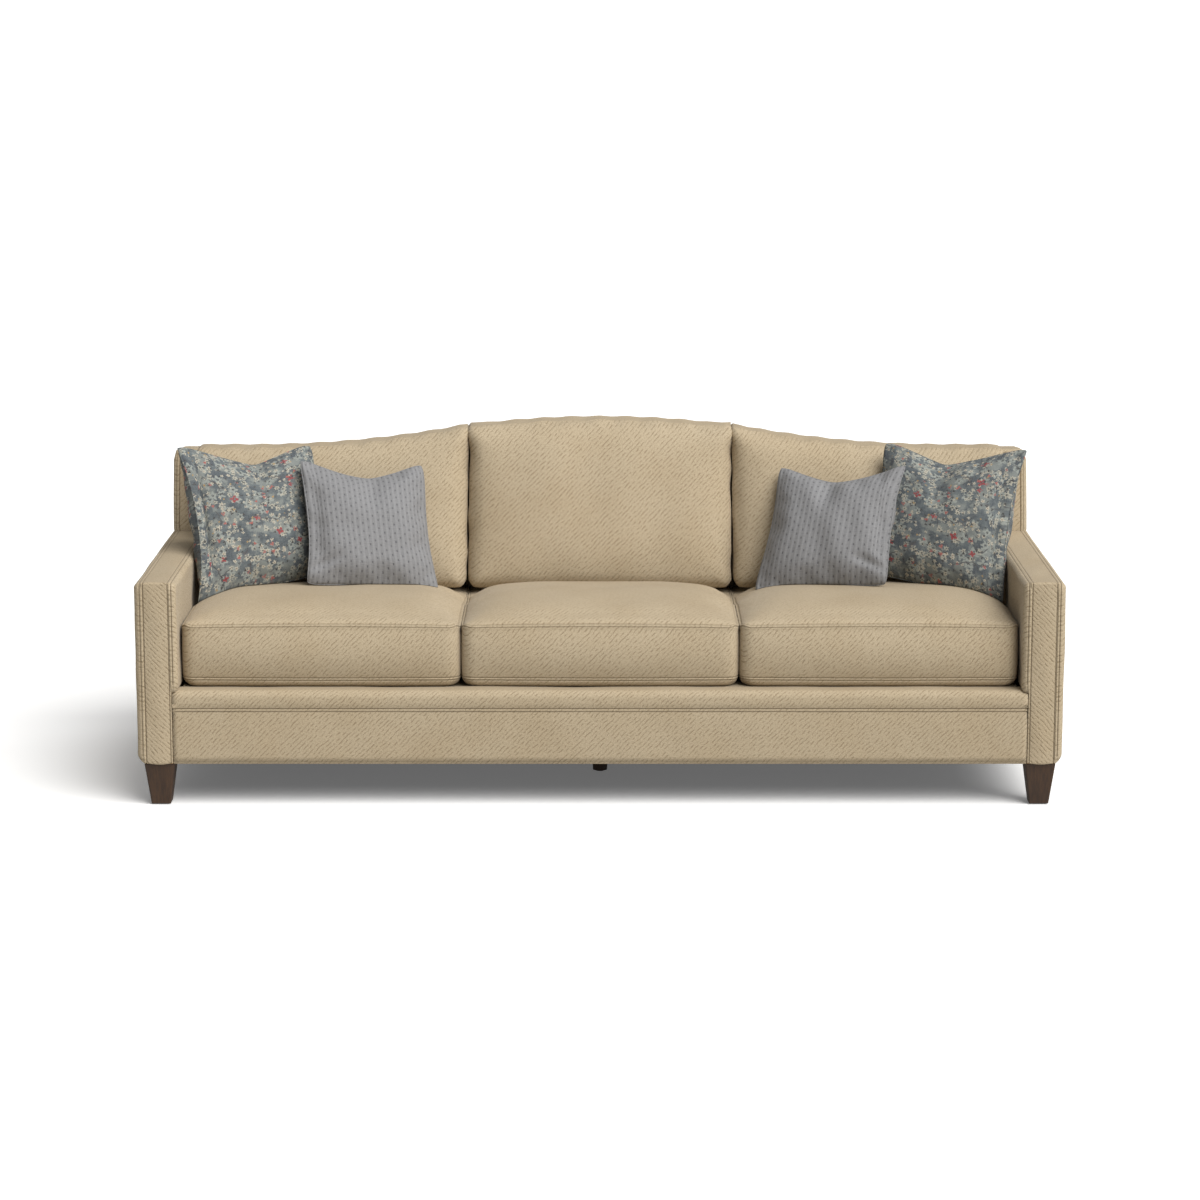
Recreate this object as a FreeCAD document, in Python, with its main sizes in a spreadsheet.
import FreeCAD, Part

import math
import os
import sys

import Sketcher
from FreeCAD import Placement, Rotation, Vector

# A three-seat sofa with a camel back, straight padded arms, three loose seat cushions,
# three loose back cushions and four throw pillows, built up from its hardwood frame.
# X runs to the sitter's left, Y runs from the front to the back, Z is up, all in millimetres.
# The origin is on the floor under the middle of the sofa.

# Driving dimensions, in millimetres
SIZES = {
    # The whole sofa
    "half_width": 1180,
    "half_depth": 490,
    "leg_height": 110,
    "glide_height": 3,
    "arm_height": 585,
    "deck_height": 303,
    # Arms: a wooden core with a padded panel on each side
    "arm_core_out": 1161,
    "arm_core_in": 1094,
    "arm_face_in": 1076,
    "boxing": 6,
    "arm_round": 16,
    # Back: the front plane leans more than the rear plane
    "back_y": 300,
    "back_slope": 0.22,
    "rear_slope": 0.104,
    "back_end_height": 805,
    "back_round": 18,
    "cover": 3,
    "outback": 8,
    # The camel curve shared by the frame, its cover and the cushions
    "crest_rise": 76,
    "crest_knee": 450,
    "crest_drop": 36,
    # Boards
    "board": 32,
    "plank": 25,
    "base_bottom": 112,
    "base_top": 240,
    "front_board_y": 478,
    "post_depth": 80,
    "spring_rail_y": 233,
    "rear_board_y": 402,
    "upright_x": 358,
    "upright_top": 800,
    "post_width": 40,
    "pad_space": 28,
    "bearer_x": 545,
    "bearer_height": 88,
    "block_leg": 80,
    "block_height": 62,
    "block_rise": 18,
    "top_rail_drop": 18,
    "top_rail_height": 95,
    "tack_rail_height": 90,
    # Seat cushions
    "seat_gap": 1.5,
    "seat_split": 357,
    "seat_front": 438,
    "seat_back": 236,
    "seat_seam": 458,
    "seat_crown": 50,
    "seat_round": 17,
    "crown_back": 72,
    "cushion_skin": 2.5,
    # Back cushions
    "back_foot": 459.5,
    "back_cushion_end": 829,
    "back_thick_low": 186,
    "back_thick_high": 122,
    "back_puff": 28,
    # Throw pillows, as they slump between their corners
    "print_width": 386,
    "print_height": 424,
    "print_lift": 58,
    "print_depth": 130,
    "plain_width": 345,
    "plain_height": 345,
    "plain_lift": -14,
    "plain_depth": 112,
    "pillow_seam": 5,
    # Legs
    "leg_top": 78,
    "leg_foot": 50,
    "leg_x": 1129,
    "front_leg_y": 442,
    "rear_leg_y": 358,
    "centre_leg_y": 90,
    "centre_leg_top": 50,
    "centre_leg_foot": 38,
    "bolt": 8,
    "tee_nut": 12,
    "bolt_below": 42,
    "bolt_length": 78,
    "centre_bolt_length": 70,
    "glide": 22,
    "screw": 5,
    "screw_length": 72,
    "screw_near": 26,
    "screw_far": 54,
    # Springs
    "wire": 3.6,
    "spring_width": 50,
    "spring_z": 244,
    "spring_landing": 16,
    "tie_wire": 3,
    "tie_reach": 1060,
    # Webbing, padding and the front roll
    "strap_width": 50,
    "strap_thick": 1.6,
    "strap_reach": 1010,
    "felt_low": 249,
    "felt_high": 253,
    "roll_low": 248,
    "roll_depth": 62,
    "roll_round": 20,
    "rail_panel_high": 247.5,
    "back_pad_depth": 26,
}

doc = FreeCAD.newDocument("sofa")
sheet = doc.addObject("Spreadsheet::Sheet", "dims")
for row, (name, value) in enumerate(SIZES.items(), start=1):
    sheet.set("A%d" % row, name)
    sheet.set("B%d" % row, str(value))
    sheet.setAlias("B%d" % row, name)
doc.recompute()

NODES = []


class Size:
    """A length that knows both its value and the sheet formula it comes from."""

    def __init__(self, value, formula):
        self.value = float(value)
        self.formula = formula

    def _with(self, other, sign, value, turned=False):
        other = as_size(other)
        pair = (other.formula, self.formula) if turned else (self.formula, other.formula)
        return Size(value, "(%s %s %s)" % (pair[0], sign, pair[1]))

    def __add__(self, other):
        return self._with(other, "+", self.value + as_size(other).value)

    def __radd__(self, other):
        return self._with(other, "+", as_size(other).value + self.value, True)

    def __sub__(self, other):
        return self._with(other, "-", self.value - as_size(other).value)

    def __rsub__(self, other):
        return self._with(other, "-", as_size(other).value - self.value, True)

    def __mul__(self, other):
        return self._with(other, "*", self.value * as_size(other).value)

    def __rmul__(self, other):
        return self._with(other, "*", as_size(other).value * self.value, True)

    def __truediv__(self, other):
        return self._with(other, "/", self.value / as_size(other).value)

    def __neg__(self):
        return Size(-self.value, "(0 - %s)" % self.formula)


def as_size(number):
    return number if isinstance(number, Size) else Size(number, repr(float(number)))


def d(name):
    """The named driving dimension, for a bound feature."""
    return Size(SIZES[name], "dims." + name)


def mm(name):
    """The named driving dimension as the sheet holds it, for a shape made in code."""
    return float(sheet.get(name))


def bind(feature, prop, size):
    feature.setExpression(prop, as_size(size).formula)


def node(feature, label):
    """Marks a feature as one finished sub-part and gives it the name of its file."""
    feature.Label = label
    NODES.append(feature)
    return feature


# Planes of the back, as a Y for a given height

def back_face(z, behind=0):
    """The upholstered front of the back at height z, or a plane that lies behind it."""
    return d("back_y") + (as_size(z) - d("arm_height")) * d("back_slope") + behind


def rear_face(z, before=0):
    """The rear of the back at height z, or a plane that lies before it."""
    top = d("back_end_height") + d("crest_rise") - d("cover")
    return d("half_depth") - (top - as_size(z)) * d("rear_slope") - before


def behind_pad(z, further=0):
    """The plane of the boards that carry the back pad, or one that lies further back."""
    return back_face(z, d("pad_space") + further)


def crest_radius():
    """Radius of the convex middle of the camel curve."""
    knee, drop = d("crest_knee"), d("crest_drop")
    return (knee * knee + drop * drop) / (2 * drop)


def hollow_share():
    """How much larger the hollow arcs beside the crest are than the crest arc."""
    return (d("crest_rise") - d("crest_drop")) / d("crest_drop")


def crest_foot():
    """Where the camel curve runs out into the level ends."""
    return d("crest_knee") * (1 + hollow_share())


def camel_outline(half, foot, end_height):
    """A flat-footed outline in X and Z whose top is the camel curve."""
    knee, far = d("crest_knee"), crest_foot()
    knee_height = as_size(end_height) + d("crest_rise") - d("crest_drop")
    hollow = crest_radius() * hollow_share()
    half = as_size(half)
    return [
        (-half, foot),
        (half, foot),
        (half, end_height),
        (far, end_height),
        (knee, knee_height, hollow, -1),
        (-knee, knee_height, crest_radius(), 1),
        (-far, end_height, hollow, -1),
        (-half, end_height),
    ]


# Sketches and the solids pulled from them

def draw(sketch, outline):
    """Draws a closed outline whose corners and radii are bound to the sheet.

    A corner is (across, up), or (across, up, radius, bulge) where an arc arrives at it.
    """
    count = len(outline)
    corners = [(as_size(c[0]), as_size(c[1])) for c in outline]
    ends = []
    for i in range(count):
        start, stop = corners[i], outline[(i + 1) % count]
        a = Vector(start[0].value, start[1].value, 0)
        b = Vector(as_size(stop[0]).value, as_size(stop[1]).value, 0)
        if len(stop) == 2:
            sketch.addGeometry(Part.LineSegment(a, b), False)
            ends.append((1, 2))
            continue
        radius, bulge = stop[2], stop[3]
        half = (b - a).Length / 2
        rise = radius.value - math.sqrt(radius.value**2 - half**2)
        side = Vector(a.y - b.y, b.x - a.x, 0).normalize() * (-bulge * rise)
        first, last = (a, b) if bulge > 0 else (b, a)
        sketch.addGeometry(Part.Arc(first, (a + b) * 0.5 + side, last), False)
        ends.append((1, 2) if bulge > 0 else (2, 1))
    for i in range(count):
        after = (i + 1) % count
        sketch.addConstraint(Sketcher.Constraint("Coincident", i, ends[i][1], after, ends[after][0]))
    for i, (across, up) in enumerate(corners):
        for kind, size in (("DistanceX", across), ("DistanceY", up)):
            rule = Sketcher.Constraint(kind, -1, 1, i, ends[i][0], size.value)
            bind(sketch, "Constraints[%d]" % sketch.addConstraint(rule), size)
        arrival = outline[(i + 1) % count]
        if len(arrival) == 4:
            rule = Sketcher.Constraint("Radius", i, arrival[2].value)
            bind(sketch, "Constraints[%d]" % sketch.addConstraint(rule), arrival[2])


def plane_of(body, role):
    return [f for f in body.Origin.OriginFeatures if f.Role == role + "_Plane"][0]


def sketch_in(body, role, start, outline):
    """A sketch in a plane parallel to an origin plane, at the given distance along its axis."""
    sketch = body.newObject("Sketcher::SketchObject", body.Name + "_sketch")
    sketch.AttachmentSupport = [(plane_of(body, role), "")]
    sketch.MapMode = "FlatFace"
    offset = -as_size(start) if role == "XZ" else as_size(start)
    bind(sketch, "AttachmentOffset.Base.z", offset)
    draw(sketch, outline)
    return sketch


def prism(name, role, start, length, outline):
    """A body pulled from one outline. Role names the outline's plane, XY, XZ or YZ."""
    body = doc.addObject("PartDesign::Body", name)
    pad = body.newObject("PartDesign::Pad", name + "_pad")
    pad.Profile = sketch_in(body, role, start, outline)
    bind(pad, "Length", length)
    pad.Reversed = role == "XZ"
    body.Tip = pad
    doc.recompute()
    return body


def trim(body, role, start, length, outline):
    """Cuts an outline, pulled along its plane's axis, out of a body."""
    before = body.Shape.Volume
    pocket = body.newObject("PartDesign::Pocket", body.Name + "_trim")
    pocket.Profile = sketch_in(body, role, start, outline)
    bind(pocket, "Length", length)
    pocket.Reversed = role != "XZ"
    body.Tip = pocket
    doc.recompute()
    if not body.Shape.Volume < before - 1:
        sys.exit("%s: a trim removed nothing" % body.Name)
    return body


def edges_where(shape, test):
    """Names of the edges whose both ends and middle pass the test."""
    found = []
    for i, edge in enumerate(shape.Edges, start=1):
        low, high = edge.ParameterRange
        spots = [edge.valueAt(low + (high - low) * share) for share in (0.02, 0.5, 0.98)]
        if all(test(spot) for spot in spots):
            found.append("Edge%d" % i)
    return found


def round_edges(body, radius, test):
    """Rounds the edges that pass the test."""
    base = body.Tip
    names = edges_where(base.Shape, test)
    if not names:
        sys.exit("%s: no edge to round" % body.Name)
    fillet = body.newObject("PartDesign::Fillet", body.Name + "_round")
    fillet.Base = (base, names)
    bind(fillet, "Radius", radius)
    body.Tip = fillet
    doc.recompute()
    return body


def box(name, x, y, z):
    """A squared board or pad. Each of x, y and z is its low and high bound."""
    block = doc.addObject("Part::Box", name)
    for side, axis, (low, high) in (("Length", "x", x), ("Width", "y", y), ("Height", "z", z)):
        bind(block, side, as_size(high) - low)
        bind(block, "Placement.Base." + axis, low)
    doc.recompute()
    return block


def rod(name, radius, length, at, turn=Rotation()):
    """A round bar that starts at a point and runs along Z before it is turned."""
    bar = doc.addObject("Part::Cylinder", name)
    bind(bar, "Radius", radius)
    bind(bar, "Height", length)
    bar.Placement = Placement(Vector(0, 0, 0), turn)
    for axis, where in zip("xyz", at):
        bind(bar, "Placement.Base." + axis, where)
    return bar


def cut(name, base, *tools):
    """Base with the tools taken away, one after another."""
    for i, tool in enumerate(tools):
        step = doc.addObject("Part::Cut", "%s_cut%d" % (name, i))
        step.Base = base
        step.Tool = tool
        base = step
    doc.recompute()
    return base


def mirrored(source, name):
    """The same piece for the other end of the sofa."""
    twin = doc.addObject("Part::Mirroring", name)
    twin.Source = source
    twin.Normal = Vector(1, 0, 0)
    return twin


def group(name, pieces):
    """Several alike solids under one name."""
    bundle = doc.addObject("Part::Compound", name)
    bundle.Links = pieces
    return bundle


def pair(name, build):
    """The right-hand piece and its mirrored twin, each a sub-part of its own."""
    right = node(build("right_" + name), "right_" + name)
    node(mirrored(right, "left_" + name), "left_" + name)


def both(name, build):
    """The right-hand piece and its mirrored twin as one group."""
    right = build("right_" + name)
    return group(name + "_pair", [right, mirrored(right, "left_" + name)])


# Fasteners

def leg_spots():
    """Middles of the five legs: two in front, two behind, one under the middle."""
    x = d("leg_x")
    return [(-x, -d("front_leg_y")), (x, -d("front_leg_y")), (-x, d("rear_leg_y")),
            (x, d("rear_leg_y")), (as_size(0), -d("centre_leg_y"))]


def bolt_hole(name, x, y, depth_down, depth_up):
    """The hole that a leg bolt needs, measured from the underside of the frame."""
    return rod(name, d("bolt") / 2 + 0.1, as_size(depth_down) + depth_up,
               (x, y, d("base_bottom") - depth_down))


def nut_hole(name, x, y):
    """The wider mouth of that hole, which takes the threaded nut."""
    return rod(name, d("tee_nut") / 2, d("tee_nut") + 1, (x, y, d("base_bottom") - 1))


def tee_nuts():
    nuts = []
    for i, (x, y) in enumerate(leg_spots()):
        body = rod("nut%d" % i, d("tee_nut") / 2, d("tee_nut"), (x, y, d("base_bottom")))
        nuts.append(cut("nut_ring%d" % i, body, bolt_hole("nut_bore%d" % i, x, y, 1, 14)))
    return group("nuts", nuts)


def block_corners():
    """The four inner corners of the seat frame: X, Y, side of the sofa, way into the seat."""
    front, rear = d("board") - d("front_board_y"), d("spring_rail_y")
    return [(d("arm_core_in") * side, y, side, way) for side in (-1, 1) for y, way in ((front, 1), (rear, -1))]


def block_screws():
    """Two screws into each of the two boards that a corner block joins."""
    near, far, length = d("screw_near"), d("screw_far"), d("screw_length")
    screws = []
    for i, (x, y, side, way) in enumerate(block_corners()):
        across, along = Rotation(Vector(0, 1, 0), 90 * side), Rotation(Vector(1, 0, 0), 90 * way)
        for rise in (14, 44):
            z = d("base_bottom") + d("block_rise") + rise
            screws.append(rod("screw%d" % len(screws), d("screw") / 2, length,
                              (x - far * side, y + near * way, z), across))
            screws.append(rod("screw%d" % len(screws), d("screw") / 2, length,
                              (x - near * side, y + far * way, z + 8), along))
    return group("screws", screws)


# Base frame

def seat_frame(screws):
    inner, low, high = d("arm_core_in"), d("base_bottom"), d("base_top")
    front = box("front", (-inner, inner), (-d("front_board_y"), d("board") - d("front_board_y")), (low, high))
    node(cut("front_drilled", front, screws), "front_rail")
    rear_y = d("spring_rail_y")
    spring = box("spring", (-inner, inner), (rear_y, rear_y + d("board")), (low, high))
    node(cut("spring_drilled", spring, screws), "seat_rear_rail")
    reach = d("arm_core_out") - d("post_width")
    back = box("back", (-reach, reach), (d("rear_board_y") - d("board"), d("rear_board_y")), (low, high))
    node(back, "bottom_back_rail")
    node(cut("sides_drilled", both("side_rail", side_rail), screws), "side_rails")
    node(cut("blocks_drilled", group("blocks", corner_blocks()), screws), "corner_blocks")


def side_rail(name):
    front = d("boxing") - d("half_depth") + d("post_depth")
    return box(name, (d("arm_core_in"), d("arm_core_in") + d("board")),
               (front, d("spring_rail_y") + d("board")), (d("base_bottom"), d("base_top")))


def corner_blocks():
    """Glued three-sided blocks in the inner corners of the seat frame."""
    leg, low, height = d("block_leg"), d("base_bottom") + d("block_rise"), d("block_height")
    blocks = []
    for i, (x, y, side, way) in enumerate(block_corners()):
        corners = [(x, y), (x, y + leg * way), (x - leg * side, y)]
        if side * way < 0:
            corners.reverse()
        blocks.append(prism("block%d" % i, "XY", low, height, corners))
    return blocks


def cross_bearers():
    low, high = d("board") - d("front_board_y"), d("spring_rail_y")
    made = []
    for i, x in enumerate((-d("bearer_x"), as_size(0), d("bearer_x"))):
        made.append(box("bearer%d" % i, (x - d("board") / 2, x + d("board") / 2), (low, high),
                        (d("base_bottom"), d("base_bottom") + d("bearer_height"))))
    made[1] = cut("centre_bearer", made[1],
                  bolt_hole("centre_bolt_hole", as_size(0), -d("centre_leg_y"), 1, 32),
                  nut_hole("centre_nut_hole", as_size(0), -d("centre_leg_y")))
    node(group("bearers", made), "cross_bearers")


# Arm frames

def arm_front_post(name):
    front = d("boxing") - d("half_depth")
    post = box(name + "_board", (d("arm_core_in"), d("arm_core_out")), (front, front + d("post_depth")),
               (d("base_bottom"), d("arm_height") - d("boxing") - d("plank")))
    return cut(name, post, bolt_hole(name + "_hole", d("leg_x"), -d("front_leg_y"), 1, 40),
               nut_hole(name + "_nut", d("leg_x"), -d("front_leg_y")))


def arm_top_rail(name):
    low, high = d("arm_height") - d("boxing") - d("plank"), d("arm_height") - d("boxing")
    front = d("boxing") - d("half_depth")
    outline = [(front, low), (behind_pad(low), low), (behind_pad(high), high), (front, high)]
    return prism(name, "YZ", d("arm_core_in"), d("arm_core_out") - d("arm_core_in"), outline)


# Back frame

def back_post(name):
    """Outer post, cut in one piece from the floor of the frame up to the top of the back."""
    low, knee, high = d("base_bottom"), d("deck_height"), d("back_end_height") - 20
    rear = d("outback")
    outline = [
        (behind_pad(knee), low),
        (rear_face(low, rear), low),
        (rear_face(high, rear), high),
        (behind_pad(high), high),
        (behind_pad(knee), knee),
    ]
    post = prism(name + "_board", "YZ", d("arm_core_out") - d("post_width"), d("post_width"), outline)
    return cut(name, post, bolt_hole(name + "_hole", d("leg_x"), d("rear_leg_y"), 1, 40),
               nut_hole(name + "_nut", d("leg_x"), d("rear_leg_y")))


def back_uprights():
    low, high = d("base_top"), d("upright_top")
    outline = [
        (behind_pad(low, d("plank")), low),
        (rear_face(low, d("outback")), low),
        (rear_face(high, d("outback")), high),
        (behind_pad(high, d("plank")), high),
    ]
    right = prism("right_upright", "YZ", d("upright_x") - d("board") / 2, d("board"), outline)
    node(group("uprights", [right, mirrored(right, "left_upright")]), "back_uprights")


def between_planes(body, front, rear):
    """Trims a thick body in X and Z down to the slab between two leaning planes."""
    half, low, high = as_size(1400), as_size(0), as_size(1000)
    far = as_size(900)
    for face, toward in ((front, -far), (rear, far)):
        outline = [(face(low), low), (face(high), high), (toward, high), (toward, low)]
        if toward.value > 0:
            outline.reverse()
        trim(body, "YZ", -half, half * 2, outline)
    return body


def leaning_board(name, outline):
    """A plank that lies in the plane of the back, behind its pad."""
    slab = prism(name, "XZ", as_size(0), as_size(600), outline)
    return between_planes(slab, behind_pad, lambda z: behind_pad(z, d("plank")))


def back_rails():
    reach = d("arm_core_out") - d("post_width")
    top = d("back_end_height") - d("top_rail_drop")
    crest = camel_outline(reach, top - d("top_rail_height"), top)
    node(leaning_board("top_rail", crest), "back_top_rail")
    low, high = d("deck_height"), d("deck_height") + d("tack_rail_height")
    tack = [(-reach, low), (reach, low), (reach, high), (-reach, high)]
    node(leaning_board("tack_rail", tack), "back_tack_rail")


# Suspension

def camel_height(x, end_height):
    """Height of the camel curve at x, for pieces made in code."""
    knee, drop, rise = mm("crest_knee"), mm("crest_drop"), mm("crest_rise")
    crest = (knee**2 + drop**2) / (2 * drop)
    hollow = crest * (rise - drop) / drop
    foot = knee * rise / drop
    x = abs(x)
    if x <= knee:
        return end_height + rise - crest + math.sqrt(crest**2 - x**2)
    if x <= foot:
        return end_height + hollow - math.sqrt(hollow**2 - (foot - x) ** 2)
    return end_height


def back_webbing():
    """Elastic straps stretched from the tack rail to the top rail, four behind each seat."""
    lean = math.degrees(math.atan(mm("back_slope")))
    straps = []
    count, tacked_low, tacked_high = 12, 25, 45
    for i in range(count):
        x = mm("strap_reach") * (2.0 * i / (count - 1) - 1)
        low = mm("deck_height") + tacked_low
        high = camel_height(x, mm("back_end_height")) - tacked_high
        strap = doc.addObject("Part::Box", "strap%d" % i)
        strap.Length, strap.Width = mm("strap_width"), mm("strap_thick")
        strap.Height = (high - low) / math.cos(math.radians(lean))
        at = Vector(x - mm("strap_width") / 2, back_face(low, d("back_pad_depth")).value, low)
        strap.Placement = Placement(at, Rotation(Vector(1, 0, 0), -lean))
        straps.append(strap)
    node(group("straps", straps), "back_webbing")


def spring_rows():
    """Middles of the fifteen springs, five under each seat."""
    pitch = mm("seat_split") * 2 / 5
    return [pitch * (i - 7) for i in range(15)]


def spring_ends():
    """Where the springs land on the front rail and on the rail behind."""
    return mm("spring_landing") - mm("front_board_y"), mm("spring_rail_y") + mm("spring_landing")


def sinuous_spring():
    """One zigzag seat spring: straight runs across, joined by half turns, front to back."""
    front, rear = spring_ends()
    z = mm("spring_z")
    turns = 28
    pitch = (rear - front) / turns
    half_run = mm("spring_width") / 2 - pitch / 2
    edges = []
    for i in range(turns + 1):
        y, side = front + i * pitch, 1 if i % 2 == 0 else -1
        edges.append(Part.LineSegment(Vector(-side * half_run, y, z), Vector(side * half_run, y, z)))
        if i < turns:
            bend = Part.Arc(Vector(side * half_run, y, z),
                            Vector(side * (half_run + pitch / 2), y + pitch / 2, z),
                            Vector(side * half_run, y + pitch, z))
            edges.append(bend)
    path = Part.Wire([edge.toShape() for edge in edges])
    start = Vector(-half_run, front, z)
    ring = Part.Wire([Part.Circle(start, Vector(1, 0, 0), mm("wire") / 2).toShape()])
    pipe = path.makePipeShell([ring], True, False)
    length = sum(edge.length() for edge in edges)
    whole = math.pi * mm("wire") ** 2 / 4 * length
    print("spring: %.0f mm of wire, volume %.4f of its section times length" % (length, pipe.Volume / whole))
    return pipe


def seat_springs():
    spring = sinuous_spring()
    rows = spring_rows()
    made = doc.addObject("Part::Feature", "springs")
    made.Shape = Part.makeCompound([spring.translated(Vector(x, 0, 0)) for x in rows])
    node(made, "seat_springs")
    wide, deep, tall, hole = 24, 16, 7, mm("wire") + 0.8
    clip = Part.makeBox(wide, deep, tall, Vector(-wide / 2, -deep / 2, mm("base_top")))
    bore = Part.makeBox(wide, hole, hole, Vector(-wide / 2, -hole / 2, mm("spring_z") - hole / 2))
    clip = clip.cut(bore)
    clips = doc.addObject("Part::Feature", "clips")
    clips.Shape = Part.makeCompound([clip.translated(Vector(x, y, 0)) for x in rows for y in spring_ends()])
    node(clips, "spring_clips")
    reach, radius, along = d("tie_reach"), d("tie_wire") / 2, Rotation(Vector(0, 1, 0), 90)
    height = d("spring_z") + d("wire") / 2 + radius
    rows = enumerate((-260, -100, 60))
    ties = [rod("tie%d" % i, radius, reach * 2, (-reach, y, height), along) for i, y in rows]
    node(group("ties", ties), "spring_tie_wires")


# Padding

def padding():
    reach = d("arm_face_in") - 1
    front = d("roll_depth") - d("half_depth")
    felt = box("felt", (-reach, reach), (front, d("spring_rail_y") + 1), (d("felt_low"), d("felt_high")))
    node(felt, "spring_insulator")
    deck = box("deck", (-reach, reach), (front, d("seat_back")), (d("felt_high"), d("deck_height") - 1))
    node(deck, "deck_pad")
    cloth = box("platform", (-reach, reach), (front, d("seat_back")), (d("deck_height") - 1, d("deck_height")))
    node(cloth, "deck_cloth")
    top = d("back_end_height") - d("cover") - 16
    pad = prism("foam", "XZ", as_size(0), as_size(600),
                camel_outline(d("arm_core_in") - 4, d("deck_height"), top))
    between_planes(pad, lambda z: back_face(z, d("cover")), lambda z: back_face(z, d("back_pad_depth")))
    node(pad, "back_pad")


def front_edge_roll():
    """The padded lip along the top of the front rail that the seat cushions sit behind."""
    reach = d("arm_core_in") - 2
    front, rear = 2 - d("half_depth"), d("roll_depth") - d("half_depth")
    low, high = d("roll_low"), d("deck_height")
    roll = prism("roll", "YZ", -reach, reach * 2, [(front, low), (rear, low), (rear, high), (front, high)])
    edge_y, edge_z = 5 - mm("half_depth"), mm("deck_height") - 3
    return round_edges(roll, d("roll_round"), lambda p: p.y < edge_y and p.z > edge_z)


# Covers

def front_rail_panel():
    reach = d("arm_core_in") - 2
    front, rear = d("boxing") - d("half_depth"), d("boxing") * 2 - d("half_depth")
    low, high = d("leg_height"), d("rail_panel_high")
    section = [(front, low), (rear, low), (rear, high), (front, high)]
    return prism("rail_panel", "YZ", -reach, reach * 2, section)


def arm_boxing(name):
    """The strip that runs up the front of the arm and back along its top."""
    front, inner = -d("half_depth"), d("boxing") - d("half_depth")
    top, under = d("arm_height"), d("arm_height") - d("boxing")
    outline = [
        (front, d("leg_height")),
        (inner, d("leg_height")),
        (inner, under),
        (back_face(under), under),
        (back_face(top), top),
        (front, top),
    ]
    strip = prism(name, "YZ", d("arm_core_in"), d("arm_core_out") - d("arm_core_in"), outline)
    edge_y, edge_z = 1 - mm("half_depth"), mm("arm_height") - 1
    return round_edges(strip, as_size(7), lambda p: p.y < edge_y and p.z > edge_z)


def arm_outside_panel(name):
    low, high = d("leg_height"), d("arm_height") - 2
    front = -d("half_depth") + 2
    outline = [
        (front, low),
        (rear_face(low, d("outback")), low),
        (rear_face(high, d("outback")), high),
        (front, high),
    ]
    panel = prism(name, "YZ", d("arm_core_out"), d("half_width") - d("arm_core_out"), outline)
    return round_edges(panel, d("arm_round"), lambda p: p.x > mm("half_width") - 1 and (
        p.y < 0 or abs(p.z - mm("leg_height")) < 1 or p.z > mm("arm_height") - 5))


def arm_inside_volume(name, inset):
    """The padded inner side of the arm, or the foam inside its cover."""
    low, high = d("deck_height") + 0.5, d("arm_height") - 2 - inset
    front = -d("half_depth") + 2 + inset
    outline = [(front, low), (back_face(low), low), (back_face(high), high), (front, high)]
    face = d("arm_face_in") + inset
    panel = prism(name, "YZ", face, d("arm_core_in") - face, outline)
    return round_edges(panel, d("arm_round") - inset, lambda p: p.x < face.value + 1 and (
        p.y < -100 or p.z > mm("arm_height") - 10))


def arm_inside_cover(name):
    return cut(name, arm_inside_volume(name + "_outer", as_size(0)),
               arm_inside_volume(name + "_inner", d("cover")))


def arm_inside_foam(name):
    return arm_inside_volume(name, d("cover"))


def back_volume(name, inset):
    """The upholstered back above the deck and the arms, or the space inside its cover."""
    top = d("back_end_height") - inset
    crest = camel_outline(d("half_width") - 2 - inset, d("arm_height") + 0.5, top)
    body = prism(name, "XZ", as_size(0), as_size(700), crest)
    between_planes(body, lambda z: back_face(z, inset), lambda z: rear_face(z, d("outback")))
    return round_edges(body, d("back_round") - inset, lambda p: p.z > top.value - 1 and
                       p.y < back_face(p.z).value + inset.value + 1)


def inside_back_cover():
    """The cover over the front, top and ends of the back, down to the arms and the deck."""
    skin = cut("back_skin", back_volume("back_outer", as_size(0)), back_volume("back_inner", d("cover")))
    reach = d("arm_core_in") - 2
    low, high = d("deck_height") + 0.5, d("arm_height") + 0.5
    apron = prism("back_apron", "XZ", as_size(0), as_size(600),
                  [(-reach, low), (reach, low), (reach, high), (-reach, high)])
    between_planes(apron, back_face, lambda z: back_face(z, d("cover")))
    whole = doc.addObject("Part::Fuse", "back_skin_whole")
    whole.Base, whole.Tool = skin, apron
    doc.recompute()
    return whole


def outside_back_panel():
    crest = camel_outline(d("half_width") - 2, d("leg_height"), d("back_end_height") - d("cover"))
    body = prism("outback_board", "XZ", as_size(0), as_size(700), crest)
    return between_planes(body, lambda z: rear_face(z, d("outback")), lambda z: rear_face(z))


def dust_cover():
    reach = d("arm_core_out") - 3
    cloth = box("cambric", (-reach, reach), (-d("front_board_y"), d("rear_board_y") - 5),
                (d("leg_height"), d("base_bottom")))
    holes = []
    for i, (x, y) in enumerate(leg_spots()):
        holes.append(rod("dust_hole%d" % i, d("bolt") / 2 + 0.3, as_size(6), (x, y, d("leg_height") - 2)))
    return cut("dust", cloth, *holes)


# Legs

def rounded_square(x, y, half, radius):
    """A square outline with rounded corners."""
    near = half - radius
    return [
        (x + near, y - half),
        (x + half, y - near, radius, 1),
        (x + half, y + near),
        (x + near, y + half, radius, 1),
        (x - near, y + half),
        (x - half, y + near, radius, 1),
        (x - half, y - near),
        (x - near, y - half, radius, 1),
    ]


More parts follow.
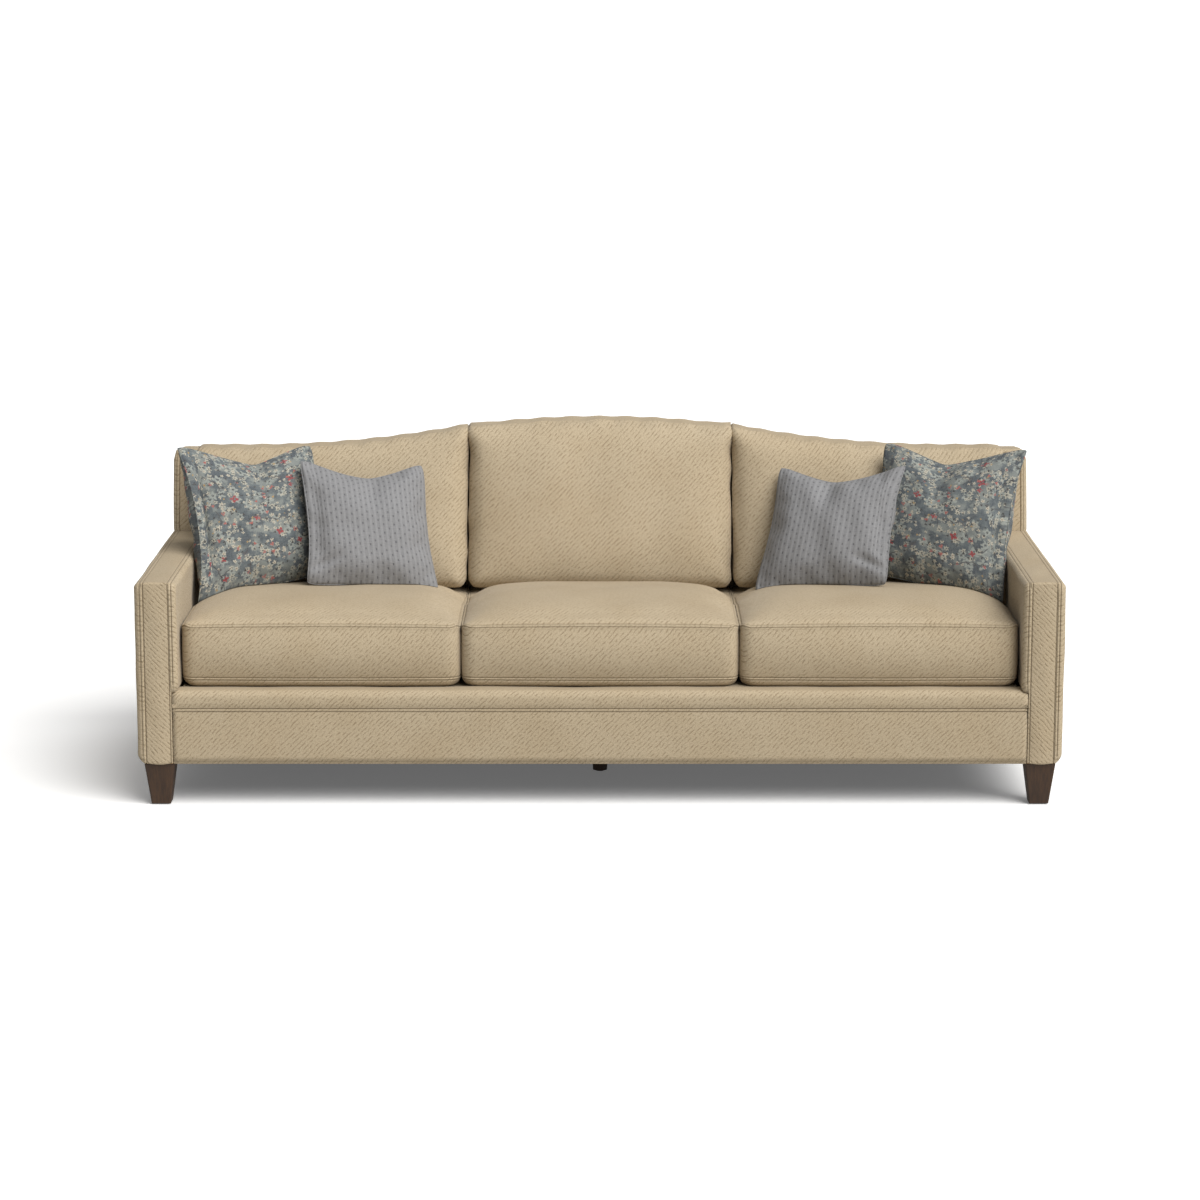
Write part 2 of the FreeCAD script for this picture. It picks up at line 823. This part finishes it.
def square_leg(name, x, y):
    """A tapered block leg with a blind hole for its bolt."""
    body = doc.addObject("PartDesign::Body", name)
    ends = [sketch_in(body, "XY", height, rounded_square(x, y, width / 2, as_size(4)))
            for height, width in ((d("glide_height"), d("leg_foot")), (d("leg_height"), d("leg_top")))]
    loft = body.newObject("PartDesign::AdditiveLoft", name + "_taper")
    loft.Profile = ends[0]
    loft.Sections = [ends[1]]
    loft.Ruled = True
    body.Tip = loft
    doc.recompute()
    return cut(name + "_drilled", body, bolt_hole(name + "_bolt_hole", x, y, 45, 2))


def centre_leg():
    spot = leg_spots()[4]
    cone = doc.addObject("Part::Cone", "centre_turning")
    bind(cone, "Radius1", d("centre_leg_foot") / 2)
    bind(cone, "Radius2", d("centre_leg_top") / 2)
    bind(cone, "Height", d("leg_height") - d("glide_height"))
    for axis, where in zip("xyz", (*spot, d("glide_height"))):
        bind(cone, "Placement.Base." + axis, where)
    return cut("centre", cone, bolt_hole("centre_leg_hole", spot[0], spot[1], 45, 2))


def legs():
    spots = leg_spots()
    for name, at in (("front_legs", spots[0:2]), ("rear_legs", spots[2:4])):
        pair = [square_leg("%s_%d" % (name, i), *spot) for i, spot in enumerate(at)]
        node(group(name + "_pair", pair), name)
    node(centre_leg(), "centre_support_leg")
    bolts, glides = [], []
    for i, (x, y) in enumerate(spots):
        length = d("centre_bolt_length") if i == 4 else d("bolt_length")
        bolts.append(rod("bolt%d" % i, d("bolt") / 2, length, (x, y, d("base_bottom") - d("bolt_below"))))
        glides.append(rod("glide%d" % i, d("glide") / 2, d("glide_height"), (x, y, 0)))
    node(group("bolts", bolts), "leg_bolts")
    node(tee_nuts(), "leg_tee_nuts")
    node(group("glides", glides), "leg_glides")


# Cushions and pillows, as stacks of closed outlines

def outline_wire(segments):
    """A closed wire from (start, middle, end) points; a middle of None is a straight line."""
    edges = []
    for start, middle, end in segments:
        if middle is None:
            edges.append(Part.LineSegment(start, end).toShape())
        else:
            edges.append(Part.Arc(start, middle, end).toShape())
    return Part.Wire(edges)


def stack(loops):
    """A closed solid through a stack of outlines."""
    return Part.makeLoft([outline_wire(loop) for loop in loops], True, True)


def plan_loop(x_low, x_high, y_low, y_high, radius, z, front_bow):
    """A rounded plan outline at one height, its front bowed out a little."""
    slack = radius * (1 - math.sqrt(0.5))

    def at(x, y):
        return Vector(x, y, z)

    return [
        (at(x_low + radius, y_low), at((x_low + x_high) / 2, y_low - front_bow), at(x_high - radius, y_low)),
        (at(x_high - radius, y_low), at(x_high - slack, y_low + slack), at(x_high, y_low + radius)),
        (at(x_high, y_low + radius), None, at(x_high, y_high - radius)),
        (at(x_high, y_high - radius), at(x_high - slack, y_high - slack), at(x_high - radius, y_high)),
        (at(x_high - radius, y_high), None, at(x_low + radius, y_high)),
        (at(x_low + radius, y_high), at(x_low + slack, y_high - slack), at(x_low, y_high - radius)),
        (at(x_low, y_high - radius), None, at(x_low, y_low + radius)),
        (at(x_low, y_low + radius), at(x_low + slack, y_low + slack), at(x_low + radius, y_low)),
    ]


def seat_cushion(x_low, x_high, inset):
    """A boxed seat cushion: rounded foot, upright boxing, and a crown in front of the back cushion."""
    base, seam = mm("deck_height") + 0.5 + inset, mm("seat_seam") - inset
    front, rear = -mm("seat_front") + inset, mm("seat_back") - 1 - inset
    x_low, x_high = x_low + inset, x_high - inset
    edge, corner = mm("seat_round") - inset, 34
    loops = []
    for angle in (0, 30, 60, 90):
        turn = math.radians(angle)
        shy, rise = edge * (1 - math.sin(turn)), edge * (1 - math.cos(turn))
        loops.append(plan_loop(x_low + shy, x_high - shy, front + shy, rear - shy, corner, base + rise, 4))
    loops.append(plan_loop(x_low, x_high, front, rear, corner, (base + seam) / 2, 9))
    loops.append(plan_loop(x_low, x_high, front, rear, corner, seam, 4))
    steps = 7
    for i in range(steps):
        share = 0.86 * (i / (steps - 1.0)) ** 1.2
        shy = (x_high - x_low) / 2 * share
        rise = 1 + (mm("seat_crown") - 1) * (1 - (1 - share) ** 2.3)
        x, y = (x_low + shy, x_high - shy), (front + shy * 0.58, mm("crown_back") - inset - shy * 0.12)
        radius = min(corner + shy * 0.3, 0.4 * (x[1] - x[0]), 0.4 * (y[1] - y[0]))
        loops.append(plan_loop(*x, *y, radius, seam + rise, 6))
    return stack(loops)


def slanted(x, z, share):
    """A point of a back cushion: share 0 lies against the back, share 1 is its front seam plane."""
    low, high = mm("back_foot"), mm("back_cushion_end")
    thick = mm("back_thick_low") + (mm("back_thick_high") - mm("back_thick_low")) * (z - low) / (high - low)
    return Vector(x, back_face(z, -1).value - share * thick, z)


def back_outline(x_in, x_out):
    """Corner and mid points, in X and Z, of a back cushion under the camel curve."""
    low, end, r = mm("back_foot"), mm("back_cushion_end"), 26.0
    slack = r * (1 - math.sqrt(0.5))
    centre = x_in < 0
    foot, knee = mm("crest_knee") * mm("crest_rise") / mm("crest_drop"), mm("crest_knee")
    wide = x_out if centre else x_out + 20

    def top(x):
        return camel_height(x, end)

    points = [
        ((x_in + r, low), None, (x_out - r, low)),
        ((x_out - r, low), (x_out - slack, low + slack), (x_out, low + r)),
        ((x_out, low + r), None, (x_out, low + 140)),
        ((x_out, low + 140), None, (wide, top(wide) - r)),
        ((wide, top(wide) - r), (wide - slack, top(wide) - slack), (wide - r, top(wide - r))),
    ]
    if centre:
        points.append(((wide - r, top(wide - r)), (0, top(0)), (x_in + r, top(x_in + r))))
    else:
        mid = (foot + knee) / 2
        points.append(((wide - r, top(wide - r)), None, (foot, top(foot))))
        points.append(((foot, top(foot)), (mid, top(mid)), (knee, top(knee))))
        near = (knee + x_in + r) / 2
        points.append(((knee, top(knee)), (near, top(near)), (x_in + r, top(x_in + r))))
    points.append(((x_in + r, top(x_in + r)), (x_in + slack, top(x_in) - slack), (x_in, top(x_in) - r)))
    points.append(((x_in, top(x_in) - r), None, (x_in, low + 140)))
    points.append(((x_in, low + 140), None, (x_in, low + r)))
    points.append(((x_in, low + r), (x_in + slack, low + slack), (x_in + r, low)))
    return points


def back_cushion(x_in, x_out, inset):
    """A loose back cushion: flat behind, boxed at the sides and crowned in front."""
    outline = back_outline(x_in, x_out)
    cx, cz = (x_in + x_out) / 2, (mm("back_foot") + camel_height(0, mm("back_cushion_end"))) / 2
    half_x, half_z = (x_out - x_in) / 2, cz - mm("back_foot")
    stations = [(0.0, 16), (0.06, 5), (0.16, 0), (0.5, 1.5), (0.84, 0), (0.95, 6), (1.0, 15)]
    thick = (mm("back_thick_low") + mm("back_thick_high")) / 2
    for share in (0.25, 0.5, 0.75, 1.0):
        stations.append((1 + mm("back_puff") * share / thick, 15 + 190 * (1 - math.sqrt(1 - share**2 * 0.97))))
    loops = []
    first, last = stations[0][0] + inset / thick, stations[-1][0] - inset / thick
    for station, shy in stations:
        share = min(max(station, first), last)
        grow_x, grow_z = 1 - (shy + inset) / half_x, 1 - (shy + inset) / half_z
        # The foot stays level on the seat, so only the top and the sides draw in below the crown.
        foot_z = mm("back_foot") + inset + (0 if shy < 20 else (shy - 15) * 0.8)
        height = 2 * half_z

        def place(point):
            x, z = point
            rise = (z - mm("back_foot")) / height
            ceiling = mm("back_foot") + height * (1 + grow_z) / 2
            return slanted(cx + (x - cx) * grow_x, foot_z + rise * (ceiling - foot_z), share)

        loops.append([(place(a), None if m is None else place(m), place(b)) for a, m, b in outline])
    return stack(loops)


def pillow_loop(seam, corner, side, y):
    """One outline of a pillow: its four seam corners, drawn in, and arcs that bow between them."""
    loop = []
    for i in range(4):
        a, b = seam[i], seam[(i + 1) % 4]
        middle = Vector((a[0] + b[0]) / 2 * side, y, (a[1] + b[1]) / 2 * side)
        loop.append((Vector(a[0] * corner, y, a[1] * corner), middle, Vector(b[0] * corner, y, b[1] * corner)))
    return loop


def pillow(kind, side, inset):
    """A knife-edge pillow: pointed corners, sides drawn in between them, and a full middle.

    Its inner bottom corner is pushed up, or drops, where it stands on the crown of the seat.
    """
    shrink = 1 - inset * 2.2 / (mm(kind + "_width") / 2)
    x, z = mm(kind + "_width") / 2 * shrink, mm(kind + "_height") / 2 * shrink
    lift = mm(kind + "_lift") * shrink
    seam = [(x, -z + (lift if side < 0 else 0)), (x, z), (-x, z), (-x, -z + (lift if side > 0 else 0))]
    half = mm(kind + "_depth") / 2 - inset
    edge = mm("pillow_seam") / 2 - min(inset * 0.6, 1.5)
    # Each station: how far out its corners and its sides reach, and its share of the depth
    stations = [(1.0, 0.93, 0.0), (0.93, 0.89, 0.16), (0.80, 0.82, 0.42), (0.62, 0.70, 0.68),
                (0.43, 0.54, 0.88), (0.20, 0.27, 1.0)]
    front = [pillow_loop(seam, c, s, -(edge + (half - edge) * t)) for c, s, t in stations]
    back = [pillow_loop(seam, c, s, edge + (half - edge) * t) for c, s, t in stations]
    return stack(list(reversed(front)) + back)


def shelled(label, outer, inner, placement=Placement()):
    """A cover as a shell and its filling as a solid, each a sub-part."""
    for part, shape in (("cover", outer.cut(inner)), ("filling", inner.copy())):
        piece = doc.addObject("Part::Feature", "%s_%s" % (label, part))
        piece.Shape = shape
        piece.Placement = placement
        node(piece, "%s_%s" % (label, part))


def flipped(shape):
    return shape.mirror(Vector(0, 0, 0), Vector(1, 0, 0))


def cushions():
    gap, split, skin = mm("seat_gap"), mm("seat_split"), mm("cushion_skin")
    end = mm("arm_face_in") - 3
    seat = [seat_cushion(split + gap, end, inset) for inset in (0, skin)]
    shelled("right_seat_cushion", *seat)
    shelled("left_seat_cushion", *[flipped(s) for s in seat])
    shelled("centre_seat_cushion", *[seat_cushion(gap - split, split - gap, i) for i in (0, skin)])
    back = [back_cushion(split + gap + 3, end, inset) for inset in (0, skin)]
    shelled("right_back_cushion", *back)
    shelled("left_back_cushion", *[flipped(s) for s in back])
    shelled("centre_back_cushion", *[back_cushion(-split - 1.5, split + 1.5, i) for i in (0, skin)])


# Where each throw pillow leans: its middle, its turn towards the centre, its lean back, and
# its roll in its own plane
PILLOWS = {
    "left_print_pillow": (-1, Vector(-923, 20, 655), 27, 24.5, 1.5),
    "right_print_pillow": (1, Vector(920, 26, 655), 24, 25.5, 0.5),
    "left_plain_pillow": (-1, Vector(-624, 34, 653), 18, 31.5, 3.8),
    "right_plain_pillow": (1, Vector(623, 22, 651), 21, 33.5, 2.6),
}


def pillows():
    for label, (side, at, turn, lean, roll) in PILLOWS.items():
        kind = label.split("_")[1]
        rotation = Rotation(Vector(0, 0, 1), -side * turn) * Rotation(Vector(1, 0, 0), -lean)
        rotation = rotation * Rotation(Vector(0, 1, 0), -side * roll)
        shapes = [pillow(kind, side, inset) for inset in (0, mm("cushion_skin"))]
        shelled(label, *shapes, placement=Placement(at, rotation))


def build():
    screws = block_screws()
    seat_frame(screws)
    node(screws, "corner_screws")
    cross_bearers()
    node(cut("posts_drilled", both("arm_front_post", arm_front_post), screws), "arm_front_posts")
    node(both("arm_top_rail", arm_top_rail), "arm_top_rails")
    node(both("back_post", back_post), "back_posts")
    back_uprights()
    back_rails()
    back_webbing()
    seat_springs()
    padding()
    node(front_edge_roll(), "front_edge_roll")
    node(front_rail_panel(), "front_rail_panel")
    pair("arm_boxing", arm_boxing)
    pair("arm_outside_panel", arm_outside_panel)
    pair("arm_inside_cover", arm_inside_cover)
    node(both("arm_inside_foam", arm_inside_foam), "arm_inside_foams")
    node(inside_back_cover(), "inside_back_cover")
    node(outside_back_panel(), "outside_back_panel")
    node(dust_cover(), "dust_cover")
    legs()
    cushions()
    pillows()


def check_and_write():
    doc.recompute()
    for feature in doc.Objects:
        if "Invalid" in feature.State or "Error" in feature.State:
            sys.exit("%s failed: %s" % (feature.Label, feature.State))
    os.makedirs("parts", exist_ok=True)
    for piece in NODES:
        shape = piece.Shape
        if shape.isNull() or not shape.isValid() or not shape.Solids:
            sys.exit("%s has no valid solid" % piece.Label)
        shape.exportStep(os.path.join("parts", piece.Label + ".step"))
    print("%d sub-parts, %d solids" % (len(NODES), sum(len(p.Shape.Solids) for p in NODES)))


build()
check_and_write()
